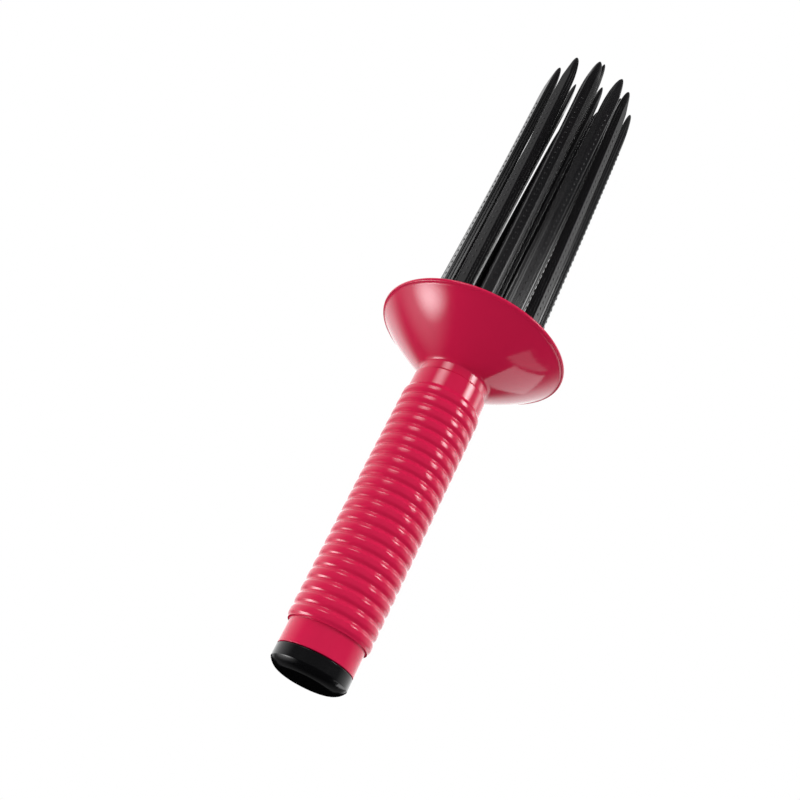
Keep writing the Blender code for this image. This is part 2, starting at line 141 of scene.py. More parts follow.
# How far each tip has bent outward and sideways, as shares of the tooth's reach
OUTER_BEND_SHARES = (
    (-0.009, -0.022),
    (0.0, -0.006),
    (0.006, 0.004),
    (0.004, 0.006),
    (-0.016, 0.010),
    (0.0, 0.006),
    (0.0, 0.0),
    (0.010, 0.002),
    (0.018, 0.004),
    (0.009, 0.007),
    (-0.007, -0.009),
    (-0.014, 0.005),
)
INNER_BEND_SHARES = ((-0.003, -0.014), (0.018, 0.018), (-0.006, 0.018), (0.014, 0.0))
CENTRE_BEND_SHARES = (0.005, -0.010)

# Half of a tooth's section, from its flat outward face down the three steps of its
# flank to its back: share of the half width, share of the depth, and the corner's
# radius. The second one is the rounder section that the first turns into at the tip
BLADE_SECTION = (
    (0.53, 0.0, 0.00012),
    (0.56, 0.05, 0.00012),
    (0.71, 0.18, 0.00010),
    (0.70, 0.28, 0.00010),
    (0.87, 0.44, 0.00010),
    (0.86, 0.54, 0.00010),
    (1.0, 0.70, 0.00010),
    (0.99, 0.80, 0.00020),
    (0.82, 1.0, 0.00030),
)
TIP_SECTION = (
    (0.20, 0.01, 0.00060),
    (0.42, 0.08, 0.00060),
    (0.60, 0.20, 0.00060),
    (0.68, 0.28, 0.00060),
    (0.80, 0.44, 0.00060),
    (0.88, 0.54, 0.00060),
    (0.96, 0.70, 0.00040),
    (0.97, 0.80, 0.00040),
    (0.80, 1.0, 0.00040),
)


def linear(code):
    """sRGB hex colour as linear red, green and blue.

    Each channel c is c / 12.92 below 0.04045, and ((c + 0.055) / 1.055) to the power
    2.4 above it.
    """
    levels = np.array([int(code[at:at + 2], 16) for at in (1, 3, 5)]) / 255.0
    low, high = levels / 12.92, ((levels + 0.055) / 1.055) ** 2.4
    return tuple(float(level) for level in np.where(levels <= 0.04045, low, high))


# ---------------------------------------------------------------- settings


class HandleSettings(bpy.types.PropertyGroup):
    """Sizes of the ribbed grip."""

    band_radius: FloatProperty(
        name="Band radius", description="Outside radius of the plain band at the foot",
        default=0.0143, unit="LENGTH", subtype="DISTANCE",
    )
    cuff_radius: FloatProperty(
        name="Cuff radius", description="Outside radius of the plain cuff under the dish",
        default=0.0149, unit="LENGTH", subtype="DISTANCE",
    )
    band_length: FloatProperty(
        name="Band length", description="Plain length between the foot and the ribs",
        default=0.0094, unit="LENGTH", subtype="DISTANCE",
    )
    rib_count: IntProperty(name="Ribs", description="Full ribs under the top one", default=20)
    rib_pitch: FloatProperty(
        name="Rib pitch", description="Length of one rib along the grip",
        default=0.004735, unit="LENGTH", subtype="DISTANCE",
    )
    top_rib: FloatProperty(
        name="Top rib", description="Length of the last rib, under the cuff",
        default=0.0047, unit="LENGTH", subtype="DISTANCE",
    )
    groove_radius: FloatProperty(
        name="Groove radius", description="Radius at the bottom of the grooves",
        default=0.0151, unit="LENGTH", subtype="DISTANCE",
    )
    rib_height: FloatProperty(
        name="Rib height", description="How far a rib stands over its grooves",
        default=0.0007, unit="LENGTH", subtype="DISTANCE",
    )
    wall: FloatProperty(
        name="Wall", description="Thickness of the wall at the band",
        default=0.0025, unit="LENGTH", subtype="DISTANCE",
    )


class DishSettings(bpy.types.PropertyGroup):
    """Sizes of the guard."""

    lip_height: FloatProperty(
        name="Lip height", description="Height of the rolled lip",
        default=0.0016, unit="LENGTH", subtype="DISTANCE",
    )
    lip_step: FloatProperty(
        name="Lip step", description="How far the bowl starts inside the lip",
        default=0.0006, unit="LENGTH", subtype="DISTANCE",
    )
    bowl_depth: FloatProperty(
        name="Bowl depth", description="Height of the rim over the bowl's foot",
        default=0.0187, unit="LENGTH", subtype="DISTANCE",
    )
    bowl_bulge: FloatProperty(
        name="Bowl bulge", description="How far the bowl's side swells from a straight cone",
        default=0.0009, unit="LENGTH", subtype="DISTANCE",
    )
    neck_radius: FloatProperty(
        name="Neck radius", description="Radius of the neck under the bowl",
        default=0.0137, unit="LENGTH", subtype="DISTANCE",
    )
    neck_round: FloatProperty(
        name="Neck round", description="Hollow where the bowl meets the neck",
        default=0.0008, unit="LENGTH", subtype="DISTANCE",
    )


class CapSettings(bpy.types.PropertyGroup):
    """Sizes of the plug at the foot."""

    face_radius: FloatProperty(
        name="Face radius", description="Radius of the flat that the comb stands on",
        default=0.0098, unit="LENGTH", subtype="DISTANCE",
    )
    dome_height: FloatProperty(
        name="Dome height", description="Height of the dome under the plug's wall",
        default=0.0028, unit="LENGTH", subtype="DISTANCE",
    )
    wall_height: FloatProperty(
        name="Wall height", description="Height of the plug's wall",
        default=0.0045, unit="LENGTH", subtype="DISTANCE",
    )


class ToothSettings(bpy.types.PropertyGroup):
    """Sizes of the teeth."""

    outer_reach: FloatProperty(
        name="Outer reach", description="Height of the outer tips over the rim",
        default=0.1477, unit="LENGTH", subtype="DISTANCE",
    )
    outer_width: FloatProperty(
        name="Outer width", description="Width of an outer tooth",
        default=0.0070, unit="LENGTH", subtype="DISTANCE",
    )
    outer_depth: FloatProperty(
        name="Outer depth", description="Depth of an outer tooth",
        default=0.0038, unit="LENGTH", subtype="DISTANCE",
    )
    inner_reach: FloatProperty(
        name="Inner reach", description="Height of the inner tips over the rim",
        default=0.1548, unit="LENGTH", subtype="DISTANCE",
    )
    inner_width: FloatProperty(
        name="Inner width", description="Width of an inner tooth",
        default=0.0046, unit="LENGTH", subtype="DISTANCE",
    )
    inner_depth: FloatProperty(
        name="Inner depth", description="Depth of an inner tooth",
        default=0.0032, unit="LENGTH", subtype="DISTANCE",
    )
    tip_length: FloatProperty(
        name="Tip length", description="Length over which a tooth narrows to its tip",
        default=0.022, unit="LENGTH", subtype="DISTANCE",
    )
    bump_pitch: FloatProperty(
        name="Bump pitch", description="Distance between two bumps of a row",
        default=0.0031, unit="LENGTH", subtype="DISTANCE",
    )
    bump_radius: FloatProperty(
        name="Bump radius", description="Radius of a bump on the outward face",
        default=0.00058, unit="LENGTH", subtype="DISTANCE",
    )
    bump_height: FloatProperty(
        name="Bump height", description="How far a bump stands out",
        default=0.00022, unit="LENGTH", subtype="DISTANCE",
    )
    bump_count: IntProperty(name="Bumps", description="Bumps on one tooth", default=35)


class FinishSettings(bpy.types.PropertyGroup):
    """Colours of the plastics, the plating and the floor."""

    pink: FloatVectorProperty(
        name="Pink", description="Colour of the handle and the dish",
        default=linear("#D61E4C"), subtype="COLOR", size=3, min=0.0, max=1.0,
    )
    black: FloatVectorProperty(
        name="Black", description="Colour of the plug and the plates",
        default=linear("#101012"), subtype="COLOR", size=3, min=0.0, max=1.0,
    )
    tooth: FloatVectorProperty(
        name="Tooth black", description="Colour of the teeth",
        default=linear("#121113"), subtype="COLOR", size=3, min=0.0, max=1.0,
    )
    plating: FloatVectorProperty(
        name="Plating", description="Colour of the plated screws",
        default=linear("#C4C6C9"), subtype="COLOR", size=3, min=0.0, max=1.0,
    )
    floor: FloatVectorProperty(
        name="Floor", description="Colour of the studio floor",
        default=linear("#F1F1F0"), subtype="COLOR", size=3, min=0.0, max=1.0,
    )


class StageSettings(bpy.types.PropertyGroup):
    """Camera and floor."""

    eye: FloatVectorProperty(
        name="Eye", description="Where the camera stands",
        default=(-0.01114, -0.36011, -0.07221), unit="LENGTH", subtype="TRANSLATION",
    )
    aim: FloatVectorProperty(
        name="Aim", description="The point that the camera looks at",
        default=(-0.01511, -0.00018, 0.11036), unit="LENGTH", subtype="TRANSLATION",
    )
    roll: FloatProperty(
        name="Roll", description="How far the camera is turned about its line of sight",
        default=math.radians(27.4156), unit="ROTATION", subtype="ANGLE",
    )
    lens: FloatProperty(name="Lens", description="Focal length in millimetres", default=47.565)
    floor_z: FloatProperty(
        name="Floor height", description="Height of the floor, well below the comb",
        default=-0.30, unit="LENGTH", subtype="DISTANCE",
    )


# ---------------------------------------------------------------- surfaces


def rounded(points, radii, steps, closed=False):
    """Polyline with its corners rounded, as an array of points.

    A corner that turns by the angle f becomes an arc of radius r. It starts r tan(f / 2)
    before the corner, and a point at the share k of it lies r sin(f k) further along and
    r (1 - cos(f k)) to the side of the turn. The two ends of an open line stay sharp.
    """
    line = np.asarray(points, float)
    before, after = np.roll(line, 1, axis=0), np.roll(line, -1, axis=0)
    come, go = line - before, after - line
    come_length, go_length = np.hypot(*come.T), np.hypot(*go.T)
    come, go = come / come_length[:, None], go / go_length[:, None]
    turn = np.arctan2(come[:, 0] * go[:, 1] - come[:, 1] * go[:, 0], (come * go).sum(1))
    half_tangent = np.maximum(np.tan(np.abs(turn) / 2), 1e-6)
    room = 0.48 * np.minimum(come_length, go_length)
    start = np.minimum(np.broadcast_to(radii, turn.shape) * half_tangent, room)
    radius = start / half_tangent
    share = np.linspace(0.0, 1.0, steps + 1)
    angle = np.abs(turn)[:, None] * share
    along = radius[:, None] * np.sin(angle) - start[:, None]
    aside = (np.sign(turn) * radius)[:, None] * (1 - np.cos(angle))
    side = np.stack([-come[:, 1], come[:, 0]], 1)
    arcs = line[:, None] + come[:, None] * along[..., None] + side[:, None] * aside[..., None]
    if closed:
        return arcs.reshape(-1, 2)
    return np.concatenate([line[:1], arcs[1:-1].reshape(-1, 2), line[-1:]])


def arc(start, end, bulge, steps):
    """Arc from start to end whose middle lies bulge to the left of the straight line.

    With chord c the radius is (c c / 4 + b b) / 2 b, and the points lie at even angles.
    """
    start, end = np.asarray(start, float), np.asarray(end, float)
    chord = end - start
    length = np.hypot(*chord)
    left = np.array([-chord[1], chord[0]]) / length
    radius = (length * length / 4 + bulge * bulge) / (2 * bulge)
    angle = math.asin(length / 2 / radius) * np.linspace(-1.0, 1.0, steps + 1)
    along = radius * np.sin(angle) / length + 0.5
    rise = radius * np.cos(angle) - radius + bulge
    return start + chord * along[:, None] + left * rise[:, None]


def grid_faces(rows, columns, first=0):
    """Quads between the rows of a grid whose columns close on themselves."""
    row, column = np.meshgrid(np.arange(rows - 1), np.arange(columns), indexing="ij")
    beside = (column + 1) % columns
    low, high = first + row * columns, first + (row + 1) * columns
    quads = np.stack([low + column, low + beside, high + beside, high + column], -1)
    return quads.reshape(-1, 4)


def fan_faces(pole, first, columns, below):
    """Triangles between a pole and the ring next to it."""
    column = np.arange(columns)
    beside = (column + 1) % columns
    ring = (beside, column) if below else (column, beside)
    return np.stack([np.full(columns, pole), first + ring[0], first + ring[1]], -1)


def make_piece(name, verts, quads, triangles, nodes, material):
    """Closed mesh from arrays, in the place of CAD nodes.

    Its volume is a sixth of the sum of a . (b x c) over its triangles, and where that
    comes out negative every face is turned round, so all of them point outwards.
    """
    split = np.concatenate([triangles, quads[:, :3], quads[:, [0, 2, 3]]]).astype(int)
    a, b, c = (verts[split[:, corner]] for corner in range(3))
    if (a * np.cross(b, c)).sum() < 0:
        quads, triangles = quads[:, ::-1], triangles[:, ::-1]
    mesh = bpy.data.meshes.new(name)
    mesh.from_pydata(verts.tolist(), [], triangles.tolist() + quads.tolist())
    mesh.materials.append(material)
    mesh.shade_smooth()
    mesh.set_sharp_from_angle(angle=math.radians(40.0))
    piece = bpy.data.objects.new(name, mesh)
    bpy.context.scene.collection.objects.link(piece)
    even = piece.modifiers.new("even_shading", "WEIGHTED_NORMAL")
    even.keep_sharp = True
    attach(piece, "root")
    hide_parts(*nodes)
    return piece


def lathe(profile, sides, closed):
    """Surface of revolution: (r cos a, r sin a, z) for every profile point and angle.

    A closed profile makes a ring-shaped shell. An open one begins and ends on the axis,
    where it closes in a pole.
    """
    profile = np.asarray(profile, float)
    angle = np.arange(sides) * (math.tau / sides)
    rings = profile if closed else profile[1:-1]
    grid = np.stack([
        rings[:, :1] * np.cos(angle),
        rings[:, :1] * np.sin(angle),
        np.broadcast_to(rings[:, 1:], (len(rings), sides)),
    ], -1)
    verts = grid.reshape(-1, 3)
    quads = grid_faces(len(rings), sides)
    if closed:
        last = (len(rings) - 1) * sides
        column = np.arange(sides)
        beside = (column + 1) % sides
        seam = np.stack([last + column, last + beside, beside, column], -1)
        return verts, np.concatenate([quads, seam]), np.zeros((0, 3), int)
    poles = np.array([[0.0, 0.0, profile[0, 1]], [0.0, 0.0, profile[-1, 1]]])
    count = len(verts)
    fans = np.concatenate([
        fan_faces(count, 0, sides, True),
        fan_faces(count + 1, (len(rings) - 1) * sides, sides, False),
    ])
    return np.concatenate([verts, poles]), quads, fans


# ---------------------------------------------------------------- materials


def add_node(tree, kind, values=None, **options):
    """Add a node. Options are its own settings, and values its sockets or their sources."""
    made = tree.nodes.new("ShaderNode" + kind)
    for option, setting in options.items():
        setattr(made, option, setting)
    for socket, value in (values or {}).items():
        if isinstance(value, bpy.types.NodeSocket):
            tree.links.new(value, made.inputs[socket])
        else:
            made.inputs[socket].default_value = value
    return made


def new_material(name):
    """Empty node material: its tree, and itself."""
    material = bpy.data.materials.new(name)
    material.use_nodes = True
    material.node_tree.nodes.clear()
    return material, material.node_tree


def tinted(tree, color, by, spread):
    """Ramp from a slightly darker to a slightly lighter shade of a colour."""
    ramp = add_node(tree, "ValToRGB", {"Fac": by})
    for end, factor in zip(ramp.color_ramp.elements, (1 - spread, 1 + spread)):
        end.color = (*(min(1.0, level * factor) for level in color), 1.0)
    return ramp.outputs["Color"]


def gloss_abs(name, color, roughness, spread):
    """Injection-moulded ABS from a polished mould.

    The eye sees deep even colour under a clear gloss: soft lamps show as pale streaks
    with soft ends, the edges pale where they mirror the white room, and a very shallow
    orange peel bends the reflections.
    """
    material, tree = new_material(name)
    place = add_node(tree, "TexCoord").outputs["Object"]
    # Flow of the melt: soft clouds about 14 mm across
    cloud = add_node(tree, "TexNoise", {"Vector": place, "Scale": 70.0, "Detail": 2.0})
    # Orange peel of about 2.5 mm
    peel = add_node(tree, "TexNoise", {"Vector": place, "Scale": 400.0, "Detail": 1.0})
    # Rub marks: thin smears of about 0.6 mm, drawn out along the comb
    stretched = add_node(
        tree, "Mapping", {"Vector": place, "Scale": (1.0, 1.0, 0.12)}, vector_type="POINT"
    )
    smear = add_node(
        tree, "TexNoise",
        {"Vector": stretched.outputs["Vector"], "Scale": 1600.0, "Detail": 3.0},
    )
    dull = add_node(tree, "MapRange", {
        "Value": smear.outputs["Fac"],
        "From Min": 0.35, "From Max": 0.75,
        "To Min": roughness - 0.02, "To Max": roughness + 0.05,
    })
    bump = add_node(tree, "Bump", {
        "Height": peel.outputs["Fac"], "Strength": 0.25, "Distance": 0.00003,
    })
    shader = add_node(tree, "BsdfPrincipled", {
        "Base Color": tinted(tree, color, cloud.outputs["Fac"], spread),
        "Roughness": dull.outputs["Result"],
        "Normal": bump.outputs["Normal"],
        "IOR": 1.53,
    })
    add_node(tree, "OutputMaterial", {"Surface": shader.outputs["BSDF"]})
    return material


def satin_nylon(name, color):
    """Injection-moulded nylon from a lightly textured mould.

    The eye sees near black with a soft sheen: fine grain breaks the reflections up, and
    the rounded corners draw pale lines.
    """
    material, tree = new_material(name)
    place = add_node(tree, "TexCoord").outputs["Object"]
    # Spark-eroded grain, 0.1 mm in life and drawn at 0.35 mm so that it shows
    grain = add_node(tree, "TexNoise", {"Vector": place, "Scale": 2800.0, "Detail": 2.0})
    # Drawn-out flow marks along the blade, 0.5 mm wide and 10 mm long
    stretched = add_node(
        tree, "Mapping", {"Vector": place, "Scale": (1.0, 1.0, 0.05)}, vector_type="POINT"
    )
    flow = add_node(
        tree, "TexNoise",
        {"Vector": stretched.outputs["Vector"], "Scale": 2000.0, "Detail": 2.0},
    )
    dull = add_node(tree, "MapRange", {
        "Value": flow.outputs["Fac"],
        "From Min": 0.3, "From Max": 0.7, "To Min": 0.15, "To Max": 0.22,
    })
    bump = add_node(tree, "Bump", {
        "Height": grain.outputs["Fac"], "Strength": 0.35, "Distance": 0.00004,
    })
    shader = add_node(tree, "BsdfPrincipled", {
        "Base Color": tinted(tree, color, flow.outputs["Fac"], 0.25),
        "Roughness": dull.outputs["Result"],
        "Normal": bump.outputs["Normal"],
        "IOR": 1.53,
    })
    add_node(tree, "OutputMaterial", {"Surface": shader.outputs["BSDF"]})
    return material


def plated_steel(name, color):
    """Nickel-plated steel, cold-headed.

    The eye sees a bright grey metal with fine rings from the tool.
    """
    material, tree = new_material(name)
    place = add_node(tree, "TexCoord").outputs["Object"]
    # Tool marks of about 0.2 mm
    marks = add_node(tree, "TexNoise", {"Vector": place, "Scale": 5000.0, "Detail": 2.0})
    dull = add_node(tree, "MapRange", {
        "Value": marks.outputs["Fac"],
        "From Min": 0.3, "From Max": 0.7, "To Min": 0.22, "To Max": 0.36,
    })
    bump = add_node(tree, "Bump", {
        "Height": marks.outputs["Fac"], "Strength": 0.2, "Distance": 0.00002,
    })
    shader = add_node(tree, "BsdfPrincipled", {
        "Base Color": tinted(tree, color, marks.outputs["Fac"], 0.06),
        "Metallic": 1.0,
        "Roughness": dull.outputs["Result"],
        "Normal": bump.outputs["Normal"],
    })
    add_node(tree, "OutputMaterial", {"Surface": shader.outputs["BSDF"]})
    return material


def found(name, maker, *values):
    """The material of that name, made the first time that it is asked for."""
    return bpy.data.materials.get(name) or maker(name, *values)


def pink_abs():
    """Material of the handle and the dish."""
    return found("pink_gloss_abs", gloss_abs, bpy.context.scene.comb_finish.pink, 0.08, 0.03)


def black_abs():
    """Material of the plug and the plates."""
    return found("black_gloss_abs", gloss_abs, bpy.context.scene.comb_finish.black, 0.15, 0.15)


def black_nylon():
    """Material of the teeth."""
    return found("black_satin_nylon", satin_nylon, bpy.context.scene.comb_finish.tooth)


def nickel():
    """Material of the screws."""
    return found("nickel_plated_steel", plated_steel, bpy.context.scene.comb_finish.plating)


# ---------------------------------------------------------------- pieces


def plug_radius(scene):
    """Radius of the dish's spigot and the plug's skirt, which fit the grip's bore."""
    sizes = scene.comb_handle
    return sizes.band_radius - sizes.wall - FIT_GAP


class COMB_OT_handle(bpy.types.Operator):
    """Hollow ribbed grip"""

    bl_idname = "comb.handle"
    bl_label = "Handle"

    def execute(self, context):
        """Turn the grip's profile about the axis.

        A rib has the radius groove + height (1 - cos(a) ^ 5). The angle a is 0 in the
        narrow groove and 90 degrees on the broad crest.
        """
        sizes = context.scene.comb_handle
        foot, top = HANDLE_LOW.z, HANDLE_HIGH.z
        band, cuff = sizes.band_radius, sizes.cuff_radius
        bore = band - sizes.wall
        share = np.linspace(0.0, 1.0, 25)[:-1]
        lengths = np.append(np.full(sizes.rib_count, sizes.rib_pitch), sizes.top_rib)
        starts = foot + sizes.band_length + np.append(0.0, np.cumsum(lengths)[:-1])
        rise = sizes.groove_radius + sizes.rib_height * (
            1 - np.cos(math.pi * np.minimum(share, 1 - share)) ** 5
        )
        ribs = np.stack([
            np.tile(rise, len(lengths)),
            (starts[:, None] + lengths[:, None] * share).ravel(),
        ], 1)
        ribs_top = starts[-1] + lengths[-1]
        lower = rounded(
            [
                (bore, foot + BORE_END), (bore, foot), (band, foot),
                (band, foot + sizes.band_length - CREASE), ribs[0],
            ],
            (0.0001, 0.0002, 0.00025, 0.0002, 0.0001), 4,
        )[1:-1]
        upper = rounded(
            [
                ribs[-1], (sizes.groove_radius, ribs_top), (cuff, ribs_top + CREASE),
                (cuff, top), (bore, top), (bore, top - BORE_END),
            ],
            (0.0001, 0.0001, 0.0002, 0.0004, 0.0002, 0.0001), 4,
        )[1:-1]
        profile = np.concatenate([lower, ribs, upper])
        verts, quads, fans = lathe(profile, sides=144, closed=True)
        make_piece("ribbed_grip", verts, quads, fans, ["handle"], pink_abs())
        return {"FINISHED"}


class COMB_OT_dish(bpy.types.Operator):
    """Shallow guard with its rolled lip and neck"""

    bl_idname = "comb.dish"
    bl_label = "Dish"

    def execute(self, context):
        """Turn the dish's profile about the axis."""
        sizes = context.scene.comb_dish
        rim, rim_z, spigot_z = DISH_HIGH.x, DISH_HIGH.z, DISH_LOW.z
        edge = sizes.lip_height / 2
        bowl_foot = rim_z - sizes.bowl_depth
        neck_foot = HANDLE_HIGH.z + FIT_GAP
        neck, plug = sizes.neck_radius, plug_radius(context.scene)
        bore = plug - SPIGOT_WALL
        web_top = bowl_foot + WEB_RISE
        web_foot = web_top - WEB_THICKNESS
        ledge, ledge_z = LEDGE_RADIUS, rim_z - LEDGE_DEPTH
        inner_foot = (ledge + INNER_START[0], ledge_z + INNER_START[1])
        lip_angle = np.linspace(math.pi / 2, -math.pi / 2.6, 15)
        lip = np.stack([
            rim - edge + edge * np.cos(lip_angle), rim_z - edge + edge * np.sin(lip_angle)
        ], 1)
        bowl = arc(
            (rim - edge / 2 - sizes.lip_step, rim_z - sizes.lip_height),
            (neck + sizes.neck_round, bowl_foot), sizes.bowl_bulge, 36,
        )
        outside = np.concatenate([lip, bowl])
        neck_line = rounded(
            [
                bowl[-1], (neck, bowl_foot - sizes.neck_round), (neck, neck_foot),
                (plug, neck_foot), (plug, spigot_z), (bore, spigot_z), (bore, web_foot),
                (SCREW_HOLE_RADIUS, web_foot), (SCREW_HOLE_RADIUS, web_top),
                (WEB_RADIUS, web_top), (ledge - LEDGE_WIDTH, ledge_z), (ledge, ledge_z),
                inner_foot,
            ],
            (0.0001, 0.0009, 0.0007, 0.0001, 0.0003, 0.0002, 0.0003, 0.0001, 0.0001,
             0.0006, 0.0002, 0.0001, 0.0001), 4,
        )[1:-1]
        inside = arc(
            inner_foot, (rim - LIP_WIDTH, rim_z - edge), -sizes.bowl_bulge / 2, 20
        )
        roll = arc(inside[-1], lip[0], LIP_BULGE, 6)[1:-1]
        profile = np.concatenate([outside, neck_line, inside, roll])
        verts, quads, fans = lathe(profile, sides=192, closed=True)
        make_piece("dish_guard", verts, quads, fans, ["dish"], pink_abs())
        return {"FINISHED"}


class COMB_OT_end_cap(bpy.types.Operator):
    """Glossy plug at the foot"""

    bl_idname = "comb.end_cap"
    bl_label = "End cap"

    def execute(self, context):
        """Turn the plug's profile about the axis."""
        sizes = context.scene.comb_cap
        top, skirt_top = sizes.dome_height + sizes.wall_height, CAP_HIGH.z
        band, plug = CAP_HIGH.x, plug_radius(context.scene)
        bore = plug - SKIRT_WALL
        face = sizes.face_radius
        dome = arc((band, sizes.dome_height), (face, 0.0), DOME_BULGE, 14)
        inner = rounded(
            [
                (0.0, END_THICKNESS), (bore, END_THICKNESS), (bore, skirt_top),
                (plug, skirt_top), (plug, top), (band, top), dome[0], dome[1],
            ],
            (0.0001, 0.0004, 0.0003, 0.0003, 0.0002, 0.00022, 0.00035, 0.0001), 5,
        )[:-1]
        outer = rounded(np.concatenate([dome[1:], [(0.0, 0.0)]]), 0.0004, 1)
        profile = np.concatenate([inner, outer])
        verts, quads, fans = lathe(profile, sides=128, closed=False)
        make_piece("foot_plug", verts, quads, fans, ["end_cap"], black_abs())
        return {"FINISHED"}


def tooth_mesh(context, place, sizes, bend):
    """One tooth's closed surface with its row of bumps, as arrays.

    The surface is shift(h) + turn(apex + (section(t) - apex) w(h)) for the share t round
    the section and the height h. w is 1 up the blade and cos a at the height
    shoulder + length sin a, so the tooth ends in an arch. The shift grows evenly with
    the lean and with the square of the height with the bend. A bump is the outer part of
    an ellipsoid: (r cos b cos a, height sin b, r cos b sin a).
    """
    teeth = context.scene.comb_tooth
    angle, face_radius = place
    width, depth, reach, lean = sizes
    root_z, rim_z = PLATE_HIGH.z, DISH_HIGH.z
    tip_z = rim_z + reach
    shoulder_z = tip_z - teeth.tip_length
    apex_y = -APEX_SHARE * depth

    def outline_of(section, margin):
        """Whole rounded outline of a section with a margin all round."""
        across, back, radius = np.array(section).T
        right = np.stack([
            across * (width / 2 + margin), margin - back * (depth + 2 * margin)
        ], 1)
        corners = np.concatenate([right * (-1, 1), right[::-1]])
        return rounded(corners, np.append(radius, radius[::-1]), 3, closed=True)

    outline = outline_of(BLADE_SECTION, 0.0)
    tip_outline = outline_of(TIP_SECTION, 0.0)
    flange = outline_of(BLADE_SECTION, FLANGE_MARGIN)

    blade = np.linspace(root_z, shoulder_z, 48)
    tip_angle = np.linspace(0.0, math.pi / 2, 26)[1:-1]
    height = np.concatenate([blade, shoulder_z + teeth.tip_length * np.sin(tip_angle)])
    scale = np.concatenate([np.ones(len(blade)), np.cos(tip_angle)])

    def shift(z):
        """Sideways and outward shift of the section at a height."""
        share = np.maximum((z - root_z) / (tip_z - root_z), 0.0)
        return bend[1] * reach * share ** 2, bend[0] * reach * share ** 2 - lean * share

    aside, outward = shift(height)
    fade = np.clip((height - tip_z + FADE_START) / FADE_LENGTH, 0.0, 1.0)[:, None, None]
    section = outline * (1 - fade) + tip_outline * fade
    blade_x = section[..., 0] * scale[:, None] + aside[:, None]
    blade_y = apex_y + (section[..., 1] - apex_y) * scale[:, None] + outward[:, None]
    foot_z = PLATE_LOW.z
    flange_z = foot_z + FLANGE_HEIGHT
    foot_rows = [(flange, foot_z), (flange, flange_z), (outline, flange_z)]
    foot = np.stack([
        np.column_stack([ring, np.full(len(ring), z)]) for ring, z in foot_rows
    ])
    grid = np.concatenate([
        foot, np.stack([blade_x, blade_y, np.broadcast_to(height[:, None], blade_x.shape)], -1)
    ])
    rows, columns = grid.shape[:2]
    tip_aside, tip_outward = shift(tip_z)
    poles = np.array([[0.0, apex_y, foot_z], [tip_aside, apex_y + tip_outward, tip_z]])
    verts = np.concatenate([grid.reshape(-1, 3), poles])
    quads = grid_faces(rows, columns)
    fans = np.concatenate([
        fan_faces(rows * columns, 0, columns, True),
        fan_faces(rows * columns + 1, (rows - 1) * columns, columns, False),
    ])

    bump_z = rim_z + BUMP_START + teeth.bump_pitch * np.arange(teeth.bump_count)
    bump_scale = np.interp(bump_z, height, scale)
    bump_x, bump_out = shift(bump_z)
    bump_y = apex_y - apex_y * bump_scale + bump_out
    turn = np.arange(BUMP_SIDES) * (math.tau / BUMP_SIDES)
    rise = np.linspace(-0.35, math.pi / 2, BUMP_RINGS + 1)[:-1]
    ring = teeth.bump_radius * np.cos(rise)[:, None]
    dome = np.stack([
        ring * np.cos(turn),
        teeth.bump_height * np.sin(rise)[:, None] * np.ones(BUMP_SIDES),
        -ring * np.sin(turn),
    ], -1).reshape(-1, 3)
    count = len(dome)
    dome = np.concatenate([dome, [[0.0, -BUMP_SINK, 0.0], [0.0, teeth.bump_height, 0.0]]])
    centres = np.stack([bump_x, bump_y, bump_z], 1)
    domes = (centres[:, None] + dome).reshape(-1, 3)
    start = len(verts) + len(dome) * np.arange(len(centres))[:, None, None]
    dome_quads = (grid_faces(BUMP_RINGS, BUMP_SIDES) + start).reshape(-1, 4)
    dome_fans = np.concatenate([
        fan_faces(count, 0, BUMP_SIDES, True),
        fan_faces(count + 1, count - BUMP_SIDES, BUMP_SIDES, False),
    ])
    dome_fans = (dome_fans + start).reshape(-1, 3)

    verts = np.concatenate([verts, domes])
    turned = angle - math.pi / 2
    x = verts[:, 0] * math.cos(turned) - verts[:, 1] * math.sin(turned)
    y = verts[:, 0] * math.sin(turned) + verts[:, 1] * math.cos(turned)
    placed = np.stack([
        x + face_radius * math.cos(angle), y + face_radius * math.sin(angle), verts[:, 2]
    ], 1)
    return placed, np.concatenate([quads, dome_quads]), np.concatenate([fans, dome_fans])


class COMB_OT_outer_teeth(bpy.types.Operator):
    """Ring of twelve outer teeth"""

    bl_idname = "comb.outer_teeth"
    bl_label = "Outer teeth"

    def execute(self, context):
        """Make each tooth of the outer ring in its place."""
        sizes = context.scene.comb_tooth
        blade = (sizes.outer_width, sizes.outer_depth, sizes.outer_reach, OUTER_LEAN)
        for number, bend in enumerate(OUTER_BEND_SHARES, 1):
            place = (math.radians(30.0 * (number - 1) + RING_TURN), OUTER_RING_RADIUS)
            verts, quads, fans = tooth_mesh(context, place, blade, bend)
            make_piece(
                f"outer_blade_{number:02d}", verts, quads, fans,
                [f"outer_tooth_{number:02d}"], black_nylon(),
            )
        return {"FINISHED"}


class COMB_OT_inner_teeth(bpy.types.Operator):
    """Four longer inner teeth and the one in the middle"""

    bl_idname = "comb.inner_teeth"
    bl_label = "Inner teeth"

    def execute(self, context):
        """Make each tooth of the inner ring and the centre tooth in its place."""
        sizes = context.scene.comb_tooth
        blade = (sizes.inner_width, sizes.inner_depth, sizes.inner_reach, 0.0)
        teeth = [
            (f"inner_blade_{number}", f"inner_tooth_{number}",
             90.0 * (number - 1) + RING_TURN, INNER_RING_RADIUS, bend)
            for number, bend in enumerate(INNER_BEND_SHARES, 1)
        ]
        teeth.append((
            "centre_blade", "centre_tooth", FRONT_TURN, sizes.inner_depth / 2,
            CENTRE_BEND_SHARES,
        ))
        for name, cad_node, degrees, radius, bend in teeth:
            place = (math.radians(degrees), radius)
            verts, quads, fans = tooth_mesh(context, place, blade, bend)
            make_piece(name, verts, quads, fans, [cad_node], black_nylon())
        return {"FINISHED"}


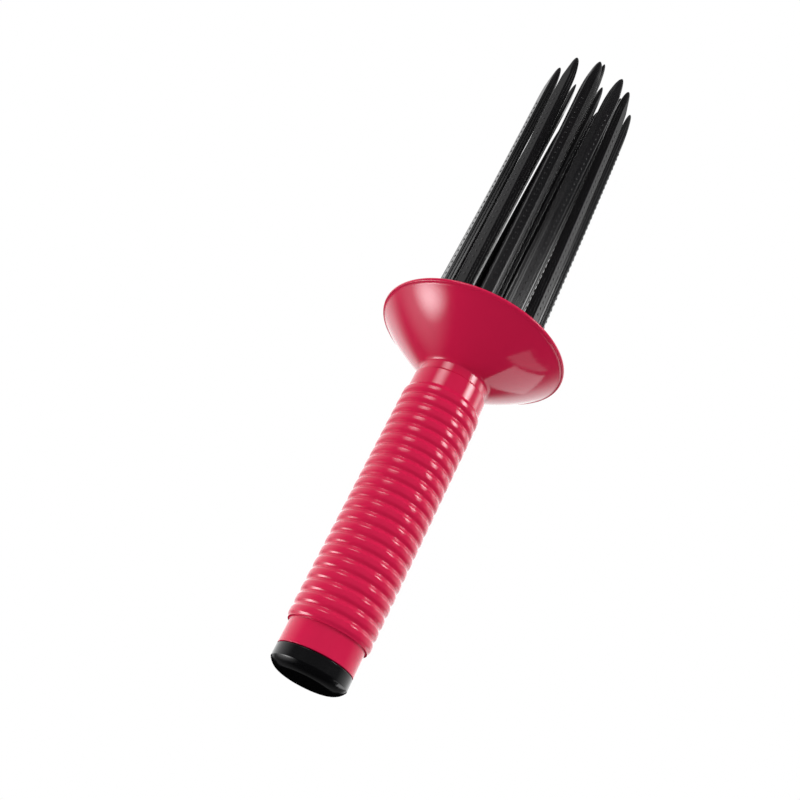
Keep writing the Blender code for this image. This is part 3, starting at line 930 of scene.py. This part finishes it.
class COMB_OT_plates_and_screws(bpy.types.Operator):
    """Finish the plates and the screws, whose solids have their full shape"""

    bl_idname = "comb.plates_and_screws"
    bl_label = "Plates and screws"

    def execute(self, context):
        """Give each solid that stays its material."""
        finishes = {"base_plate": black_abs(), "slotted_plate": black_abs()}
        for name in ("hub_screw", "plate_screw_1", "plate_screw_2", "plate_screw_3"):
            finishes[name] = nickel()
        for name, material in finishes.items():
            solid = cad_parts[name]
            solid.data.materials.clear()
            solid.data.materials.append(material)
        return {"FINISHED"}


# ---------------------------------------------------------------- stage


def light_panel(name, verts, strength):
    """Flat panel of four corners that shines, and that the camera doesn't see."""
    mesh = bpy.data.meshes.new(name)
    mesh.from_pydata(np.asarray(verts).tolist(), [], [(0, 1, 2, 3)])
    made = bpy.data.objects.new(name, mesh)
    bpy.context.scene.collection.objects.link(made)
    made.visible_camera = False
    material, tree = new_material(name + "_light")
    glow = add_node(tree, "Emission", {"Strength": strength})
    add_node(tree, "OutputMaterial", {"Surface": glow.outputs["Emission"]})
    mesh.materials.append(material)
    return made, tree, glow


def card(name, ways, distance, strength):
    """Card with its corners at one distance from the lit point."""
    light_panel(
        name, [LIT_POINT + Vector(way).normalized() * distance for way in ways], strength
    )


def softbox(name, toward, along, distance, size, strength):
    """Lit panel that faces the comb, with its width along a given direction.

    Its strength falls off smoothly from its middle to its rim, as a real softbox's does,
    and it lets through what lies behind it.
    """
    away = Vector(toward).normalized()
    side = Vector(along) - away * away.dot(Vector(along))
    side.normalize()
    turned = Matrix((side, side.cross(away), -away)).transposed()
    corners = np.array([(-0.5, -0.5, 0.0), (0.5, -0.5, 0.0), (0.5, 0.5, 0.0), (-0.5, 0.5, 0.0)])
    made, tree, glow = light_panel(name, corners * (*size, 1.0), strength)
    made.matrix_world = Matrix.Translation(LIT_POINT + away * distance) @ turned.to_4x4()
    place = add_node(tree, "TexCoord").outputs["Object"]
    centred = add_node(
        tree, "Mapping", {"Vector": place, "Scale": (2 / size[0], 2 / size[1], 1.0)},
        vector_type="POINT",
    )
    reach = add_node(
        tree, "VectorMath", {0: centred.outputs["Vector"]}, operation="LENGTH"
    )
    fall = add_node(tree, "MapRange", {
        "Value": reach.outputs["Value"],
        "From Min": 0.0, "From Max": 1.0, "To Min": strength, "To Max": 0.0,
    }, interpolation_type="SMOOTHSTEP")
    tree.links.new(fall.outputs["Result"], glow.inputs["Strength"])
    clear = add_node(tree, "BsdfTransparent")
    both = add_node(
        tree, "AddShader", {0: clear.outputs["BSDF"], 1: glow.outputs["Emission"]}
    )
    tree.links.new(both.outputs["Shader"], tree.nodes["Material Output"].inputs["Surface"])


class COMB_OT_stage(bpy.types.Operator):
    """Pale floor, soft studio light, and the camera"""

    bl_idname = "comb.stage"
    bl_label = "Stage"

    def execute(self, context):
        """Set up the floor, the room, the softboxes and the camera."""
        self.make_floor(context)
        self.make_room(context)
        for values in SOFTBOXES:
            softbox(*values)
        for values in CARDS:
            card(*values)
        light_panel("black_flag", FLAG_CORNERS, 0.0)
        self.make_camera(context)
        return {"FINISHED"}

    def make_floor(self, context):
        """Wide round floor, a fan of triangles about its middle."""
        angle = np.arange(96) * (math.tau / 96)
        ring = np.stack([np.cos(angle), np.sin(angle)], 1) * 1.6
        z = context.scene.comb_stage.floor_z
        verts = np.concatenate([np.column_stack([ring, np.full(96, z)]), [[0.0, 0.0, z]]])
        mesh = bpy.data.meshes.new("studio_floor")
        mesh.from_pydata(verts.tolist(), [], fan_faces(96, 0, 96, False).tolist())
        floor = bpy.data.objects.new("studio_floor", mesh)
        context.scene.collection.objects.link(floor)
        material, tree = new_material("matte_paper")
        place = add_node(tree, "TexCoord").outputs["Object"]
        # Paper backdrop: fibres too fine to see, drawn as 4 mm clouds
        fibre = add_node(tree, "TexNoise", {"Vector": place, "Scale": 250.0, "Detail": 3.0})
        shader = add_node(tree, "BsdfPrincipled", {
            "Base Color": tinted(
                tree, context.scene.comb_finish.floor, fibre.outputs["Fac"], 0.01
            ),
            "Roughness": 0.8,
        })
        add_node(tree, "OutputMaterial", {"Surface": shader.outputs["BSDF"]})
        mesh.materials.append(material)
        # The comb is high over the floor, which neither lights it nor shows in it
        floor.visible_glossy = False
        floor.visible_diffuse = False

    def make_room(self, context):
        """White room: plain light all round, and white straight behind the comb.

        What the gloss mirrors is dark round the lens and below, and grows bright towards
        the wall behind the comb.
        """
        world = bpy.data.worlds.new("studio_room")
        context.scene.world = world
        world.use_nodes = True
        tree = world.node_tree
        tree.nodes.clear()
        way = add_node(tree, "TexCoord").outputs["Generated"]
        front = add_node(
            tree, "VectorMath", {0: way, 1: TO_CAMERA}, operation="DOT_PRODUCT"
        )
        wall = add_node(tree, "MapRange", {
            "Value": front.outputs["Value"],
            "From Min": 0.15, "From Max": -0.80, "To Min": 0.06, "To Max": 1.45,
        })
        height = add_node(tree, "SeparateXYZ", {"Vector": way})
        above = add_node(tree, "MapRange", {
            "Value": height.outputs["Z"],
            "From Min": -0.35, "From Max": -0.02, "To Min": 0.12, "To Max": 1.0,
        }, interpolation_type="SMOOTHSTEP")
        ceiling = add_node(tree, "MapRange", {
            "Value": height.outputs["Z"],
            "From Min": 0.55, "From Max": 0.92, "To Min": 1.0, "To Max": 0.2,
        }, interpolation_type="SMOOTHSTEP")
        level = add_node(tree, "Math", {
            0: above.outputs["Result"], 1: ceiling.outputs["Result"],
        }, operation="MULTIPLY")
        gloss = add_node(tree, "Math", {
            0: wall.outputs["Result"], 1: level.outputs["Value"],
        }, operation="MULTIPLY")
        path = add_node(tree, "LightPath")
        mirrored = add_node(tree, "Background", {"Strength": gloss.outputs["Value"]})
        seen = add_node(tree, "Background", {"Strength": 1.0})
        # Softer light from below than from above
        shade = add_node(tree, "MapRange", {
            "Value": height.outputs["Z"],
            "From Min": -0.85, "From Max": 0.4, "To Min": 0.36, "To Max": 0.9,
        })
        plain = add_node(tree, "Background", {"Strength": shade.outputs["Result"]})
        for made in (mirrored, seen, plain):
            made.inputs["Color"].default_value = (1.0, 1.0, 1.0, 1.0)
        straight = add_node(tree, "Math", {
            0: path.outputs["Is Camera Ray"], 1: path.outputs["Is Transmission Ray"],
        }, operation="MAXIMUM")
        lit = add_node(tree, "MixShader", {
            0: path.outputs["Is Glossy Ray"],
            1: plain.outputs["Background"], 2: mirrored.outputs["Background"],
        })
        whole = add_node(tree, "MixShader", {
            0: straight.outputs["Value"], 1: lit.outputs["Shader"],
            2: seen.outputs["Background"],
        })
        add_node(tree, "OutputWorld", {"Surface": whole.outputs["Shader"]})

    def make_camera(self, context):
        """Camera at the eye, turned to the aim and then about its line of sight."""
        sizes = context.scene.comb_stage
        eye, aim = Vector(sizes.eye), Vector(sizes.aim)
        data = bpy.data.cameras.new("photo_camera")
        data.lens = sizes.lens
        data.sensor_width = 36.0
        data.clip_start = 0.01
        data.clip_end = 20.0
        camera = bpy.data.objects.new("photo_camera", data)
        context.scene.collection.objects.link(camera)
        look = (aim - eye).to_track_quat("-Z", "Y").to_matrix()
        turned = look @ Matrix.Rotation(sizes.roll, 3, "Z")
        camera.matrix_world = Matrix.Translation(eye) @ turned.to_4x4()
        context.scene.camera = camera
        context.scene.view_settings.view_transform = "Standard"


class COMB_PT_parts(bpy.types.Panel):
    """Lists the sizes, the colours and the pieces"""

    bl_idname = "COMB_PT_parts"
    bl_label = "Round styling comb"
    bl_space_type = "VIEW_3D"
    bl_region_type = "UI"
    bl_category = "Comb"

    def draw(self, context):
        """Show each group of settings with the buttons that use it."""
        layout = self.layout
        for group, buttons in PANEL_ROWS:
            box = layout.box()
            settings = getattr(context.scene, group)
            for name in settings.__annotations__:
                box.prop(settings, name)
            for button in buttons:
                box.operator(button)


GROUPS = {
    "comb_handle": HandleSettings,
    "comb_dish": DishSettings,
    "comb_cap": CapSettings,
    "comb_tooth": ToothSettings,
    "comb_finish": FinishSettings,
    "comb_stage": StageSettings,
}
PANEL_ROWS = (
    ("comb_finish", ("comb.plates_and_screws",)),
    ("comb_handle", ("comb.handle",)),
    ("comb_dish", ("comb.dish",)),
    ("comb_cap", ("comb.end_cap",)),
    ("comb_tooth", ("comb.outer_teeth", "comb.inner_teeth")),
    ("comb_stage", ("comb.stage",)),
)
CLASSES = (
    *GROUPS.values(),
    COMB_OT_handle,
    COMB_OT_dish,
    COMB_OT_end_cap,
    COMB_OT_outer_teeth,
    COMB_OT_inner_teeth,
    COMB_OT_plates_and_screws,
    COMB_OT_stage,
    COMB_PT_parts,
)


def register():
    """Add the classes, and the settings to the scene."""
    for cls in CLASSES:
        bpy.utils.register_class(cls)
    for name, group in GROUPS.items():
        setattr(bpy.types.Scene, name, PointerProperty(type=group))


def unregister():
    """Take the settings and the classes away again."""
    for name in GROUPS:
        delattr(bpy.types.Scene, name)
    for cls in reversed(CLASSES):
        bpy.utils.unregister_class(cls)


def main():
    register()
    bpy.ops.comb.plates_and_screws()
    bpy.ops.comb.handle()
    bpy.ops.comb.dish()
    bpy.ops.comb.end_cap()
    bpy.ops.comb.outer_teeth()
    bpy.ops.comb.inner_teeth()
    bpy.ops.comb.stage()


if __name__ == "__main__":
    main()
